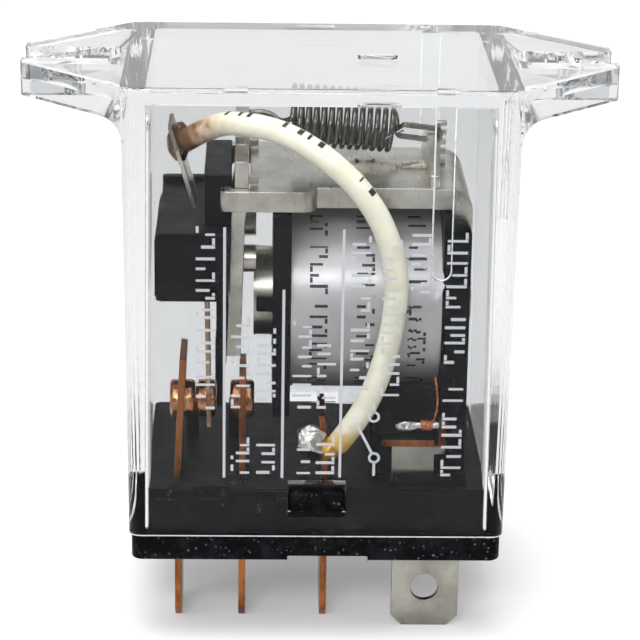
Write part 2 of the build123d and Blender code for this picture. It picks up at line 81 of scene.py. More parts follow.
# ---------------------------------------------------------------- material building blocks
class Surface:
    """A new material's node tree, with short calls for the nodes used here."""

    def __init__(self, name):
        self.material = bpy.data.materials.new(name)
        self.material.use_nodes = True
        self.tree = self.material.node_tree
        self.shader = self.tree.nodes["Principled BSDF"]
        self.place = self.tree.nodes.new("ShaderNodeTexCoord")

    def node(self, kind, inputs=(), **settings):
        made = self.tree.nodes.new("ShaderNode" + kind)
        for setting, value in settings.items():
            setattr(made, setting, value)
        for socket, value in dict(inputs).items():
            self.feed(made.inputs[socket], value)
        return made

    def feed(self, socket, value):
        if isinstance(value, bpy.types.NodeSocket):
            self.tree.links.new(value, socket)
        else:
            socket.default_value = value

    def set(self, **inputs):
        """Principled inputs, with underscores for the spaces in their names."""
        for name, value in inputs.items():
            self.feed(self.shader.inputs[name.replace("_", " ")], value)

    def at(self, stretch=(1, 1, 1)):
        """Object coordinates, squeezed along each axis."""
        return self.node(
            "Mapping", {"Vector": self.place.outputs["Object"], "Scale": stretch}
        ).outputs[0]

    def noise(self, per_metre, detail=3.0, roughness=0.55, stretch=(1, 1, 1), distortion=0.0):
        return self.node(
            "TexNoise",
            {
                "Vector": self.at(stretch),
                "Scale": per_metre,
                "Detail": detail,
                "Roughness": roughness,
                "Distortion": distortion,
            },
        ).outputs["Fac"]

    def specks(self, per_metre, size, share):
        """Scattered dots: 1 on a dot, 0 between, on that share of the cells."""
        cells = self.node(
            "TexVoronoi", {"Vector": self.at(), "Scale": per_metre, "Randomness": 1.0}
        )
        near = self.span(cells.outputs["Distance"], size, 0.4 * size, 0.0, 1.0)
        chosen = self.math(
            "GREATER_THAN",
            self.node("SeparateColor", {"Color": cells.outputs["Color"]}).outputs[0],
            1 - share,
        )
        return self.math("MULTIPLY", near, chosen)

    def span(self, source, low, high, to_low, to_high):
        """source from low..high brought to to_low..to_high, and held there beyond."""
        return self.node(
            "MapRange",
            {
                "Value": source,
                "From Min": low,
                "From Max": high,
                "To Min": to_low,
                "To Max": to_high,
            },
        ).outputs[0]

    def math(self, operation, first, second=0.0):
        made = self.node("Math", operation=operation)
        self.feed(made.inputs[0], first)
        self.feed(made.inputs[1], second)
        return made.outputs[0]

    def mix(self, share, first, second):
        made = self.node("Mix", data_type="RGBA")
        self.feed(made.inputs[0], share)
        self.feed(made.inputs[6], first if not isinstance(first, tuple) else (*first, 1))
        self.feed(made.inputs[7], second if not isinstance(second, tuple) else (*second, 1))
        return made.outputs[2]

    def bump(self, height, distance, strength=1.0, under=None):
        inputs = {"Height": height, "Distance": distance, "Strength": strength}
        if under is not None:
            inputs["Normal"] = under
        return self.node("Bump", inputs).outputs[0]

    def along(self, axis):
        """One object coordinate, in metres."""
        parts = self.node("SeparateXYZ", {"Vector": self.place.outputs["Object"]})
        return parts.outputs[axis]

    def facing(self, axis):
        """How squarely a face looks along an axis: 0 edge-on, 1 square."""
        parts = self.node("SeparateXYZ", {"Vector": self.place.outputs["Normal"]})
        return self.math("ABSOLUTE", parts.outputs[axis])


# ---------------------------------------------------------------- materials
def clear_plastic():
    """Polished polycarbonate with handling smudges, fine scratches and moulding waviness."""
    s = Surface("clear_plastic")
    smudge = s.span(s.noise(170, 4.0), 0.45, 0.75, 0.0, 1.0)
    scratch_a = s.span(s.noise(900, 2.0, stretch=(0.06, 1.0, 1.0), distortion=0.6), 0.66, 0.72, 0.0, 1.0)
    scratch_b = s.span(s.noise(700, 2.0, stretch=(1.0, 0.08, 0.2), distortion=0.8), 0.68, 0.74, 0.0, 1.0)
    scratches = s.math("MAXIMUM", scratch_a, scratch_b)
    dust = s.specks(520, 0.09, 0.16)
    wave = s.bump(s.noise(90, 1.0), 0.00002, 0.5)
    s.set(
        Base_Color=s.mix(dust, (0.75, 0.757, 0.763), (0.6, 0.61, 0.62)),
        Roughness=s.math("ADD", s.span(smudge, 0.0, 1.0, 0.012, 0.05), s.math("MULTIPLY", scratches, 0.05)),
        Transmission_Weight=1.0,
        IOR=1.58,
        Specular_Tint=(0.15, 0.15, 0.15, 1),
        Normal=s.bump(scratches, 0.000004, 0.35, wave),
    )
    # Lamps light the mechanism straight through the cover.
    passed = s.node("BsdfTransparent", {"Color": (0.96, 0.965, 0.97, 1)})
    path = s.node("LightPath")
    both = s.node("MixShader", {0: path.outputs["Is Shadow Ray"]})
    s.tree.links.new(s.shader.outputs[0], both.inputs[1])
    s.tree.links.new(passed.outputs[0], both.inputs[2])
    output = s.tree.nodes["Material Output"]
    s.tree.links.new(both.outputs[0], output.inputs["Surface"])
    return s.material


def black_moulding(name, gloss=0.34, dust=0.2):
    """Black thermoset moulding: a faint grain, cloudy dust and stray light specks."""
    s = Surface(name)
    clouds = s.span(s.noise(620, 5.0, 0.7), 0.47, 0.72, 0.0, 1.0)
    dusty = s.span(s.noise(260, 3.0), 0.35, 0.7, 0.0, 1.0)
    specks = s.math("MAXIMUM", s.specks(1500, 0.2, 1.4 * dust), s.specks(2900, 0.3, 2.4 * dust))
    specks = s.math("MULTIPLY", specks, dusty)
    body = s.mix(clouds, (0.0012, 0.0014, 0.002), (0.012, 0.0132, 0.016))
    grain = s.bump(s.noise(5200, 3.0), 0.000012, 0.5)
    s.set(
        Base_Color=s.mix(s.math("MULTIPLY", specks, 0.42), body, (0.34, 0.34, 0.35)),
        Roughness=s.span(s.noise(900, 4.0), 0.3, 0.7, gloss, gloss + 0.2),
        Specular_IOR_Level=0.05,
        Normal=s.bump(specks, 0.00001, 0.6, grain),
    )
    return s.material


def plated_metal(name, colour, dull, roughness=0.3, stretch=(1, 1, 1)):
    """Nickel plate: soft tarnish clouds, rolling streaks and a fine uneven grain."""
    s = Surface(name)
    tarnish = s.span(s.noise(420, 4.0, 0.55), 0.36, 0.7, 0.0, 1.0)
    streaks = s.noise(3400, 3.0, stretch=stretch)
    marks = s.specks(1500, 0.12, 0.1)
    plate = s.mix(tarnish, colour, dull)
    s.set(
        Base_Color=s.mix(s.math("MULTIPLY", marks, 0.5), plate, tuple(0.45 * c for c in dull)),
        Metallic=1.0,
        Roughness=s.span(streaks, 0.3, 0.7, roughness, roughness + 0.09),
        Normal=s.bump(streaks, 0.000002, 0.15, s.bump(s.noise(600, 2.0), 0.00001, 0.3)),
    )
    return s


def blade_metal(name, axis, fold=None):
    """Plated copper strip whose cut edges, the faces that don't look along the axis, are bare.

    Above the fold, its plated faces look up.
    """
    s = plated_metal(name, (0.38, 0.37, 0.33), (0.23, 0.22, 0.19), 0.32, (1, 0.1, 1))
    plate = s.shader.inputs["Base Color"].links[0].from_socket
    burnt = s.span(s.noise(750, 4.0, 0.65, stretch=(1, 1, 0.35)), 0.4, 0.6, 0.0, 1.0)
    copper = s.mix(burnt, (0.36, 0.125, 0.04), (0.10, 0.035, 0.016))
    face = s.span(s.facing(axis), 0.55, 0.85, 0.0, 1.0)
    if fold is not None:
        folded = s.span(s.along("Z"), fold, fold + 0.02 * MM, 0.0, 1.0)
        top = s.span(s.facing("Z"), 0.55, 0.85, 0.0, 1.0)
        upright = s.math("SUBTRACT", 1.0, folded)
        face = s.math("ADD", s.math("MULTIPLY", folded, top), s.math("MULTIPLY", upright, face))
    s.set(Base_Color=s.mix(face, copper, plate))
    return s.material


def contact_metal():
    """Copper rivet with a silver face: bright, struck unevenly, brown in its hollows."""
    s = Surface("contact_copper")
    struck = s.noise(1500, 3.0, 0.6)
    soot = s.span(s.noise(900, 3.0), 0.45, 0.7, 0.0, 1.0)
    s.set(
        Base_Color=s.mix(soot, (0.60, 0.29, 0.15), (0.16, 0.06, 0.03)),
        Metallic=1.0,
        Roughness=s.span(struck, 0.3, 0.7, 0.14, 0.34),
        Normal=s.bump(struck, 0.00016, 0.8),
    )
    return s.material


def strip_copper():
    """Thin contact spring: brown with a rubbed, brighter middle."""
    s = Surface("spring_copper")
    rubbed = s.noise(1300, 3.0, stretch=(1, 1, 0.15))
    worn = s.span(s.noise(380, 3.0), 0.42, 0.66, 0.0, 1.0)
    brown = s.mix(worn, (0.26, 0.14, 0.08), (0.5, 0.38, 0.27))
    height = s.math("ADD", s.along("Z"), s.span(s.noise(900, 3.0), 0.3, 0.7, -0.0012, 0.0012))
    tinned = s.mix(s.span(height, 0.0275, 0.0285, 0.0, 1.0), (0.72, 0.68, 0.6), (0.3, 0.25, 0.2))
    s.set(
        Base_Color=s.mix(s.span(s.along("Z"), 0.0236, 0.0242, 0.0, 1.0), brown, tinned),
        Metallic=1.0,
        Roughness=s.span(rubbed, 0.3, 0.7, 0.24, 0.42),
        Normal=s.bump(rubbed, 0.000008, 0.5),
    )
    return s.material


def film_tape():
    """Grey satin film round the coil, with faint windings pressed through it."""
    s = Surface("coil_tape")
    pressed = s.noise(2300, 2.0, stretch=(1, 0.05, 0.05))
    folds = s.noise(210, 3.0, distortion=0.4)
    s.set(
        Base_Color=s.mix(s.span(folds, 0.4, 0.65, 0.0, 1.0), (0.46, 0.457, 0.46), (0.56, 0.555, 0.557)),
        Metallic=0.4,
        Roughness=s.span(s.noise(600, 3.0), 0.3, 0.7, 0.36, 0.46),
        Coat_Weight=0.25,
        Coat_Roughness=0.22,
        Normal=s.bump(pressed, 0.00001, 0.4, s.bump(folds, 0.00012, 0.5)),
    )
    return s.material


def enamelled_wire():
    """Red-brown magnet wire."""
    s = Surface("magnet_wire")
    s.set(
        Base_Color=s.mix(s.noise(1800, 3.0), (0.50, 0.085, 0.028), (0.66, 0.26, 0.08)),
        Metallic=0.6,
        Roughness=s.span(s.noise(2600), 0.3, 0.7, 0.18, 0.32),
        Coat_Weight=0.6,
        Coat_Roughness=0.08,
    )
    return s.material


def bright_solder(name, flux=0.0, flux_colour=(0.30, 0.15, 0.02)):
    """Solder: mirror-bright where it froze smooth, crazed elsewhere, with flux over part of it."""
    s = Surface(name)
    crazed = s.noise(1700, 4.0, 0.6, distortion=0.5)
    amber = s.span(s.noise(700, 3.0), 0.62 - flux, 0.74 - flux, 0.0, 1.0)
    s.set(
        Base_Color=s.mix(amber, (0.80, 0.79, 0.76), flux_colour),
        Metallic=s.span(amber, 0.0, 1.0, 1.0, 0.35),
        Roughness=s.span(crazed, 0.35, 0.65, 0.06, 0.26),
        Coat_Weight=0.4,
        Coat_Roughness=0.05,
        Normal=s.bump(crazed, 0.00012, 0.7),
    )
    return s.material


def drawn_steel():
    """Oiled spring wire, dark with drawing lines."""
    s = Surface("spring_steel")
    s.set(
        Base_Color=s.mix(s.noise(700, 3.0), (0.27, 0.26, 0.235), (0.07, 0.068, 0.06)),
        Metallic=1.0,
        Roughness=s.span(s.noise(2000, 2.0), 0.3, 0.7, 0.16, 0.26),
        Normal=s.bump(s.noise(1500, 1.0), 0.000004, 0.3),
    )
    return s.material


def cream_insulation(hot_end, cold_end):
    """Cream insulation, a little dirty: browned by soldering at the hot end, amber at the cold end."""
    s = Surface("cream_insulation")
    dirt = s.span(s.noise(650, 4.0), 0.45, 0.72, 0.0, 1.0)
    cream = s.mix(dirt, (0.93, 0.905, 0.74), (0.84, 0.81, 0.64))
    scorch = s.math("ADD", s.along("X"), s.span(s.noise(800, 3.0), 0.3, 0.7, -0.0008, 0.0008))
    brown = s.span(scorch, hot_end.x + 0.8 * MM, hot_end.x + 3.6 * MM, 1.0, 0.0)
    black = s.span(scorch, hot_end.x + 0.2 * MM, hot_end.x + 1.5 * MM, 1.0, 0.0)
    scorched = s.mix(brown, cream, (0.60, 0.38, 0.22))
    burnt = s.mix(black, scorched, (0.15, 0.06, 0.025))
    height = s.math("ADD", s.along("Z"), s.span(s.noise(900, 3.0), 0.3, 0.7, -0.0005, 0.0005))
    fluxed = s.span(height, cold_end.z + 0.5 * MM, cold_end.z + 1.9 * MM, 1.0, 0.0)
    s.set(
        Base_Color=s.mix(fluxed, burnt, (0.74, 0.47, 0.09)),
        Roughness=s.span(s.noise(1500, 3.0), 0.3, 0.7, 0.4, 0.55),
        Subsurface_Weight=0.18,
        Subsurface_Radius=(0.9, 0.7, 0.4),
        Subsurface_Scale=0.0006,
        Specular_IOR_Level=0.45,
        Normal=s.bump(s.noise(2600, 3.0), 0.00002, 0.5, s.bump(s.noise(420, 2.0), 0.00006, 0.5)),
    )
    return s.material


def ink(name, colour, worn, wear=0.62):
    """Printing ink, and the pale colour of the painted highlight lines: slightly thin and broken in places.
    """
    s = Surface(name)
    thin = s.span(s.noise(4200, 4.0, 0.7), wear, wear + 0.14, 0.0, 1.0)
    s.set(
        Base_Color=s.mix(thin, colour, worn),
        Roughness=s.span(s.noise(2500, 3.0), 0.3, 0.7, 0.5, 0.7),
        Normal=s.bump(s.noise(3800, 3.0), 0.00001, 0.4),
    )
    return s.material


def finish(material, *names):
    """Gives CAD nodes a material, in every slot of their meshes."""
    for name in names:
        piece = nodes[name]
        if not piece.material_slots:
            piece.data.materials.append(material)
        for place in piece.material_slots:
            place.material = material


# ---------------------------------------------------------------- mesh building blocks
def new_piece(name, mesh, material, body):
    """Links a mesh as a piece that rides on a body."""
    piece = bpy.data.objects.new(name, mesh)
    bpy.context.scene.collection.objects.link(piece)
    mesh.materials.append(material)
    if body is not None:
        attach(piece, body)
    return piece


def tube_mesh(name, points, radius, sides=14):
    """A closed round tube along points. radius is a number, or a function of the share of the length."""
    points = [Vector(p) for p in points]
    mesh = bmesh.new()
    steps = [(b - a).length for a, b in zip(points, points[1:])]
    whole, gone = sum(steps), 0.0
    tangent = (points[1] - points[0]).normalized()
    side = tangent.orthogonal().normalized()
    rings = []
    for i, point in enumerate(points):
        ahead = points[min(i + 1, len(points) - 1)] - points[max(i - 1, 0)]
        if ahead.length > 1e-9:
            turned = ahead.normalized()
            side = tangent.rotation_difference(turned) @ side
            tangent = turned
        side = (side - tangent * side.dot(tangent)).normalized()
        up = tangent.cross(side)
        r = radius(gone / whole) if callable(radius) else radius
        ring = []
        for k in range(sides):
            turn = 2 * math.pi * k / sides
            ring.append(mesh.verts.new(point + r * (math.cos(turn) * side + math.sin(turn) * up)))
        rings.append(ring)
        if i < len(steps):
            gone += steps[i]
    for before, after in zip(rings, rings[1:]):
        for k in range(sides):
            j = (k + 1) % sides
            mesh.faces.new((before[k], before[j], after[j], after[k]))
    mesh.faces.new(reversed(rings[0]))
    mesh.faces.new(rings[-1])
    made = bpy.data.meshes.new(name)
    for face in mesh.faces:
        face.smooth = len(face.verts) == 4
    mesh.to_mesh(made)
    mesh.free()
    return made


def drop_mesh(name, centre, half, seed, planes=22, rough=0.08):
    """A frozen drop of solder: flat spots where it shrank, with softly uneven edges between them."""
    random.seed(seed)
    shift = Vector((seed * 3.7, seed * 1.3, seed * 2.1))
    flats = []
    for _ in range(planes):
        way = Vector([random.gauss(0, 1) for _ in range(3)]).normalized()
        flats.append((way, random.uniform(0.72, 0.95)))
    mesh = bmesh.new()
    bmesh.ops.create_icosphere(mesh, subdivisions=5, radius=1.0)
    for vert in mesh.verts:
        way = vert.co.normalized()
        reach = min([0.98] + [far / way.dot(flat) for flat, far in flats if way.dot(flat) > 0.1])
        reach *= 1 + rough * (noise.noise(way * 2.1 + shift) - 0.5)
        vert.co = Vector(centre) + Vector(c * h for c, h in zip(way * reach, half))
    for face in mesh.faces:
        face.smooth = True
    made = bpy.data.meshes.new(name)
    mesh.to_mesh(made)
    mesh.free()
    return made


def patch(mesh, corners, seat=lambda u, v, point: point, steps=1):
    """A four-cornered decal, cut into steps along its length so that seat can lay it on a curve."""
    a, b, c, d = (Vector(p) for p in corners)
    before = None
    for k in range(steps + 1):
        t = k / steps
        edge = [mesh.verts.new(seat(0, t, a.lerp(d, t))), mesh.verts.new(seat(1, t, b.lerp(c, t)))]
        if before:
            mesh.faces.new((before[0], before[1], edge[1], edge[0]))
        before = edge


def finished(mesh, name):
    """The bmesh as a mesh."""
    made = bpy.data.meshes.new(name)
    mesh.to_mesh(made)
    mesh.free()
    return made


def soften(width, *names):
    """Small rounds on the sharp edges of CAD nodes, as moulding and stamping leave them."""
    for name in names:
        piece = nodes[name]
        weld = piece.modifiers.new("weld", "WELD")
        weld.merge_threshold = 1e-6
        bevel = piece.modifiers.new("rounds", "BEVEL")
        bevel.width = width
        bevel.segments = 2
        bevel.limit_method = "ANGLE"
        bevel.angle_limit = math.radians(38)
        bevel.use_clamp_overlap = name == "clear_cover"
        shade = piece.modifiers.new("shading", "WEIGHTED_NORMAL")
        shade.weight = 60
        shade.keep_sharp = False


# ---------------------------------------------------------------- studio
def camera():
    """The long lens of a product shot, a little above the object and turned slightly clockwise."""
    target = Vector((0.302, 0.0, 15.1)) * MM
    distance_mm = 194.75
    azimuth, elevation, roll = map(math.radians, (-1.477, 19.023, 0.9))
    away = Vector(
        (
            math.sin(azimuth) * math.cos(elevation),
            -math.cos(azimuth) * math.cos(elevation),
            math.sin(elevation),
        )
    )
    level = (-away).cross(Vector((0, 0, 1))).normalized()
    upright = level.cross(-away)
    right = math.cos(roll) * level + math.sin(roll) * upright
    up = -math.sin(roll) * level + math.cos(roll) * upright
    data = bpy.data.cameras.new("camera")
    data.sensor_width = 36.0
    data.lens = 145.52
    data.clip_start = 0.01
    data.clip_end = 20.0
    made = bpy.data.objects.new("camera", data)
    bpy.context.scene.collection.objects.link(made)
    turn = Matrix((right, up, away)).transposed().to_4x4()
    made.matrix_world = Matrix.Translation(target + away * distance_mm * MM) @ turn
    bpy.context.scene.camera = made


def area_light(name, place, aim, size, power, colour=(1, 1, 1)):
    data = bpy.data.lights.new(name, "AREA")
    data.shape = "RECTANGLE"
    data.size, data.size_y = size
    data.energy = power
    data.color = colour
    made = bpy.data.objects.new(name, data)
    made.location = place
    made.rotation_euler = (Vector(aim) - Vector(place)).to_track_quat("-Z", "Y").to_euler()
    bpy.context.scene.collection.objects.link(made)


def studio():
    """A pale floor under the blades' tips, five soft boxes and an even surround."""
    mesh = bmesh.new()
    bmesh.ops.create_grid(mesh, x_segments=8, y_segments=8, size=4.0)
    made = bpy.data.meshes.new("floor")
    mesh.to_mesh(made)
    mesh.free()
    floor = bpy.data.objects.new("floor", made)
    floor.location.z = cad_low.z - 0.02 * MM
    bpy.context.scene.collection.objects.link(floor)
    s = Surface("floor")
    s.set(
        Base_Color=s.mix(s.noise(14, 2.0), (0.78, 0.78, 0.78), (0.81, 0.81, 0.81)),
        Roughness=s.span(s.noise(60, 2.0), 0.3, 0.7, 0.75, 0.85),
        Specular_IOR_Level=0.0,
        Emission_Color=(1, 1, 1, 1),
        Emission_Strength=0.22,
    )
    made.materials.append(s.material)

    world = bpy.data.worlds.new("studio")
    bpy.context.scene.world = world
    world.use_nodes = True
    tree = world.node_tree
    place = tree.nodes.new("ShaderNodeTexCoord")
    parts = tree.nodes.new("ShaderNodeSeparateXYZ")
    tree.links.new(place.outputs["Generated"], parts.inputs[0])
    shade = tree.nodes.new("ShaderNodeValToRGB")
    stops = shade.color_ramp.elements
    stops[0].position, stops[0].color = 0.42, (0.30, 0.31, 0.33, 1)
    stops[1].position, stops[1].color = 0.95, (1.0, 1.0, 1.0, 1)
    band = stops.new(0.60)
    band.color = (0.62, 0.63, 0.65, 1)
    lift = tree.nodes.new("ShaderNodeMapRange")
    lift.inputs["From Min"].default_value = -1.0
    tree.links.new(parts.outputs["Z"], lift.inputs[0])
    tree.links.new(lift.outputs[0], shade.inputs[0])
    background = tree.nodes["Background"]
    tree.links.new(shade.outputs[0], background.inputs["Color"])
    background.inputs["Strength"].default_value = 0.52

    centre = (cad_low + cad_high) / 2
    area_light("overhead", (-0.05, -0.06, 0.42), centre, (0.30, 0.26), 1.05)
    area_light("left_box", (-0.40, -0.24, 0.22), centre, (0.18, 0.30), 0.4)
    area_light("right_box", (0.44, -0.06, 0.24), centre, (0.12, 0.30), 0.3)
    area_light("front_box", (-0.10, -0.46, 0.34), centre, (0.26, 0.12), 1.1)
    area_light("rear_box", (0.0, 0.45, 0.24), centre, (0.50, 0.30), 0.42)
    scene = bpy.context.scene
    scene.view_settings.view_transform = "Standard"
    # Light runs far inside the clear walls before it leaves them.
    scene.cycles.max_bounces = 32
    scene.cycles.glossy_bounces = 24
    scene.cycles.transmission_bounces = 32


# ---------------------------------------------------------------- pieces
def spline_points(route, name):
    """The smooth line that has the route's points as its control points."""
    curve = bpy.data.curves.new(name, "CURVE")
    curve.dimensions = "3D"
    curve.resolution_u = 12
    spline = curve.splines.new("NURBS")
    spline.points.add(len(route) - 1)
    for point, place in zip(spline.points, route):
        point.co = (*place, 1.0)
    spline.order_u = 3
    spline.use_endpoint_u = True
    carrier = bpy.data.objects.new(name, curve)
    line = bpy.data.meshes.new_from_object(carrier)
    points = [v.co.copy() for v in line.vertices]
    bpy.data.objects.remove(carrier)
    bpy.data.meshes.remove(line)
    return points


def return_spring():
    """The close-wound spring with its hook through the armature's tab and its loop on the post."""
    y = middle("return_spring").y
    wire = 0.42 * MM
    coil = 1.46 * MM
    left = Vector((-2.0 * MM, y, 30.42 * MM))
    right = Vector((5.36 * MM, y, 29.98 * MM))
    upward = (right - left).normalized().cross(Vector((0, 1, 0)))
    per_turn, turns = 30, 13 + 1 / 6
    coils = []
    for k in range(int(turns * per_turn) + 1):
        t = k / (turns * per_turn)
        turn = 2 * math.pi * (turns * t - 1 / 6)
        uneven = coil * (1 + 0.012 * noise.noise(Vector((t * 9, 0, 0))))
        ring = uneven * (math.cos(turn) * upward + math.sin(turn) * Vector((0, 1, 0)))
        coils.append(left.lerp(right, t) + ring)
    hook_mm = [
        (-6.5, 0, 29.6), (-6.65, 0, 30.85), (-5.6, 0, 30.72),
        (-4.9, 0, 31.3), (-3.6, -0.1, 31.25), (-2.7, -0.8, 30.6),
    ]
    loop_mm = [
        (5.5, 0.55, 31.35), (5.7, 0.3, 30.8), (5.72, 0, 30.1), (5.8, 0, 29.55),
        (6.5, 0, 29.5), (8.2, 0, 29.28), (8.85, 0, 29.25), (8.9, 0, 30.1),
        (8.2, 0, 30.18), (6.7, 0, 30.36), (6.0, 0.05, 30.4), (6.02, 0.1, 29.9),
    ]
    shift = Vector((0, y, 0))
    hook = spline_points([Vector(p) * MM + shift for p in hook_mm] + [coils[0]], "hook_line")
    loop = spline_points([coils[-1]] + [Vector(p) * MM + shift for p in loop_mm], "loop_line")
    mesh = tube_mesh("return_spring_wire", hook[:-1] + coils + loop[1:], wire / 2, 12)
    piece = new_piece("return_spring_wire", mesh, drawn_steel(), None)
    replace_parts(piece, "return_spring")
    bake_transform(piece)


LEAD_ROUTE_MM = [
    (-9.75, 0.3, 29.1),
    (-7.7, -2.2, 31.0),
    (-5.3, -4.5, 31.7),
    (-2.4, -6.2, 31.4),
    (0.4, -7.5, 30.0),
    (2.9, -8.1, 27.8),
    (4.7, -8.2, 24.9),
    (5.6, -8.2, 21.4),
    (5.4, -8.2, 18.1),
    (4.8, -8.2, 15.1),
    (3.9, -8.2, 12.4),
    (2.8, -8.1, 10.2),
    (1.45, -7.7, 8.25),
]
LEAD_DIAMETER = 1.7 * MM


def lead_print(points):
    """Worn dark dashes along the top of the lead, in place of its printing."""
    mesh = bmesh.new()
    random.seed(11)
    run = 0.0
    marks = []
    for start, dashes in ((5.6, 3), (10.4, 4), (16.4, 2)):
        for k in range(dashes):
            at = (start + 0.95 * k + random.uniform(-0.25, 0.25)) * MM
            marks.append((at, random.uniform(0.12, 0.5) * MM))
    lift = LEAD_DIAMETER / 2 + 0.012 * MM
    for before, after in zip(points, points[1:]):
        step = (after - before).length
        way = (after - before).normalized()
        out = Vector((0.15, -0.4, 0.95))
        out = (out - way * out.dot(way)).normalized()
        across = way.cross(out)
        for at, long in marks:
            if run <= at < run + step:
                middle_point = before + way * (at - run)
                ends = (middle_point - way * long / 2, middle_point + way * long / 2)

                def seat(u, v, point, out=out, across=across, ends=ends):
                    turn = math.radians(-22 + 44 * v)
                    return ends[u] + lift * (math.cos(turn) * out + math.sin(turn) * across)

                patch(mesh, [ends[0]] * 4, seat, 6)
        run += step
    dark = ink("lead_ink", (0.022, 0.021, 0.018), (0.3, 0.29, 0.23), 0.6)
    return new_piece("lead_print", finished(mesh, "lead_print"), dark, None)


def lead():
    """The insulated lead from the moving contact's tab to the common blade."""
    route = [Vector(p) * MM for p in LEAD_ROUTE_MM]
    points = spline_points(route, "lead_line")
    mesh = tube_mesh("lead", points, LEAD_DIAMETER / 2, 28)
    piece = new_piece("lead", mesh, cream_insulation(route[0], route[-1]), None)
    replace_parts(piece, "lead_wire")
    print_piece = lead_print(points)
    for part in (piece, print_piece):
        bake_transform(part)


def painted_edge_highlights():
    """Painted highlights along the polished edges of the guide ribs and the cover's rim: thin pale opaque
    tubes in place of the light those edges catch.
    """
    # The highlight lines are painted: a pale colour on opaque tubes, lit like any other surface.
    gleam = ink("painted_edge_highlight", (0.80, 0.82, 0.83), (0.42, 0.44, 0.45), 0.52)
    rib_middle, rib_half, rib_low, rib_high = 8.65, 0.7, 21.4, 34.0
    for side, toward in (("front", -1), ("rear", 1)):
        outline = [(rib_middle - rib_half, rib_high)]
        for k in range(13):
            turn = math.pi * k / 12
            across = rib_half * math.cos(turn)
            outline.append((rib_middle - across, rib_low + rib_half * (1 - math.sin(turn))))
        outline.append((rib_middle + rib_half, rib_high))
        points = [Vector((x, toward * 8.68, z)) * MM for x, z in outline]
        mesh = tube_mesh("guide_rib_painted_highlight_" + side, points, 0.055 * MM, 8)
        new_piece("guide_rib_painted_highlight_" + side, mesh, gleam, "frame")

    # The cover's rim gets a painted highlight as well: a pale opaque tube just above its lower edge.
    cover_low, cover_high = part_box("clear_cover")
    half_x, half_y, corner = 13.65 * MM, cover_high.y - 0.35 * MM, 0.85 * MM
    points = []
    for quarter, (x, y) in enumerate(((1, 1), (-1, 1), (-1, -1), (1, -1), (1, 1))):
        for k in range(7 if quarter < 4 else 1):
            turn = math.pi / 2 * (quarter + k / 6)
            centre = Vector((x * (half_x - corner), y * (half_y - corner), cover_low.z + 0.05 * MM))
            points.append(centre + corner * Vector((math.cos(turn), math.sin(turn), 0)))
    mesh = tube_mesh("rim_painted_highlight", points, 0.045 * MM, 8)
    new_piece("rim_painted_highlight", mesh, gleam, "frame")


def strokes(mesh, column, width, words, place):
    """A column of short strokes, grouped like words, in place of printed lettering."""
    for low, high in words:
        z = low
        while z < high:
            bar = random.uniform(0.17, 0.24)
            long = random.choice((1.0, 0.72, 0.5))
            shift = random.choice((0, 1 - long))
            left = column - width / 2 + width * shift
            place(mesh, left, left + width * long, z, z + bar)
            z += bar
            gap = random.uniform(0.35, 0.75)
            if random.random() < 0.5:
                side = column + random.choice((-0.5, 0.5)) * (width - 0.2)
                place(mesh, side - 0.1, side + 0.1, z + 0.04, z + 0.75 * gap)
            z += gap


def front_print():
    """Grey printing on the front wall: a small switch diagram, two dividers and columns of strokes."""
    cover_low, cover_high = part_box("clear_cover")
    lean = 0.3 * MM / (cover_high.z - cover_low.z)
    rim = cover_low.y + 0.3 * MM

    def wall(z):
        return rim - lean * (z * MM - cover_low.z) - 0.008 * MM

    def bar(mesh, x0, x1, z0, z1):
        corners = [(x0 * MM, wall(z0), z0 * MM), (x1 * MM, wall(z0), z0 * MM),
                   (x1 * MM, wall(z1), z1 * MM), (x0 * MM, wall(z1), z1 * MM)]
        patch(mesh, corners)

    def line(mesh, x0, z0, x1, z1, thick):
        along = Vector((x1 - x0, z1 - z0)).normalized() * thick / 2
        corners = [(x0 - along.y, z0 + along.x), (x0 + along.y, z0 - along.x),
                   (x1 + along.y, z1 - along.x), (x1 - along.y, z1 + along.x)]
        patch(mesh, [(x * MM, wall(z), z * MM) for x, z in corners])

    def ring(mesh, x, z, radius, thick):
        for k in range(24):
            turns = [2 * math.pi * (k + step) / 24 for step in (0, 1)]
            corners = [(x + r * math.cos(t), z + r * math.sin(t))
                       for r, t in ((radius, turns[0]), (radius + thick, turns[0]),
                                    (radius + thick, turns[1]), (radius, turns[1]))]
            patch(mesh, [(u * MM, wall(v), v * MM) for u, v in corners])

    mesh = bmesh.new()
    random.seed(5)
    rated = ((6.9, 9.5), (12.0, 18.2))
    columns = (
        (-8.1, ((11.9, 14.5), (15.4, 25.0))),
        (-5.6, rated),
        (-3.75, ((6.9, 9.5), (12.6, 18.2))),
        (-1.2, rated),
        (0.55, ((6.9, 9.5), (12.0, 17.0))),
        (2.9, ((12.8, 18.0), (19.4, 25.0))),
        (5.1, ((13.0, 24.8),)),
        (7.1, ((20.8, 25.4),)),
    )
    for column, words in columns:
        strokes(mesh, column, 1.35, words, bar)
    strokes(mesh, 9.65, 1.45, ((6.8, 11.2), (12.6, 14.2), (15.5, 25.4)), bar)
    line(mesh, -6.75, 6.6, -6.75, 25.6, 0.2)
    line(mesh, -2.55, 6.6, -2.55, 21.0, 0.2)
    line(mesh, 1.63, 6.65, 1.63, 25.5, 0.2)
    ring(mesh, 4.02, 11.39, 0.26, 0.18)
    ring(mesh, 4.09, 8.21, 0.26, 0.18)
    line(mesh, 4.09, 7.9, 4.09, 6.8, 0.2)
    line(mesh, 3.95, 8.5, 2.75, 10.9, 0.2)
    line(mesh, 4.02, 11.7, 4.02, 12.5, 0.2)
    grey = ink("front_ink", (0.46, 0.47, 0.5), (0.34, 0.35, 0.38), 0.66)
    new_piece("front_print", finished(mesh, "front_print"), grey, "frame")


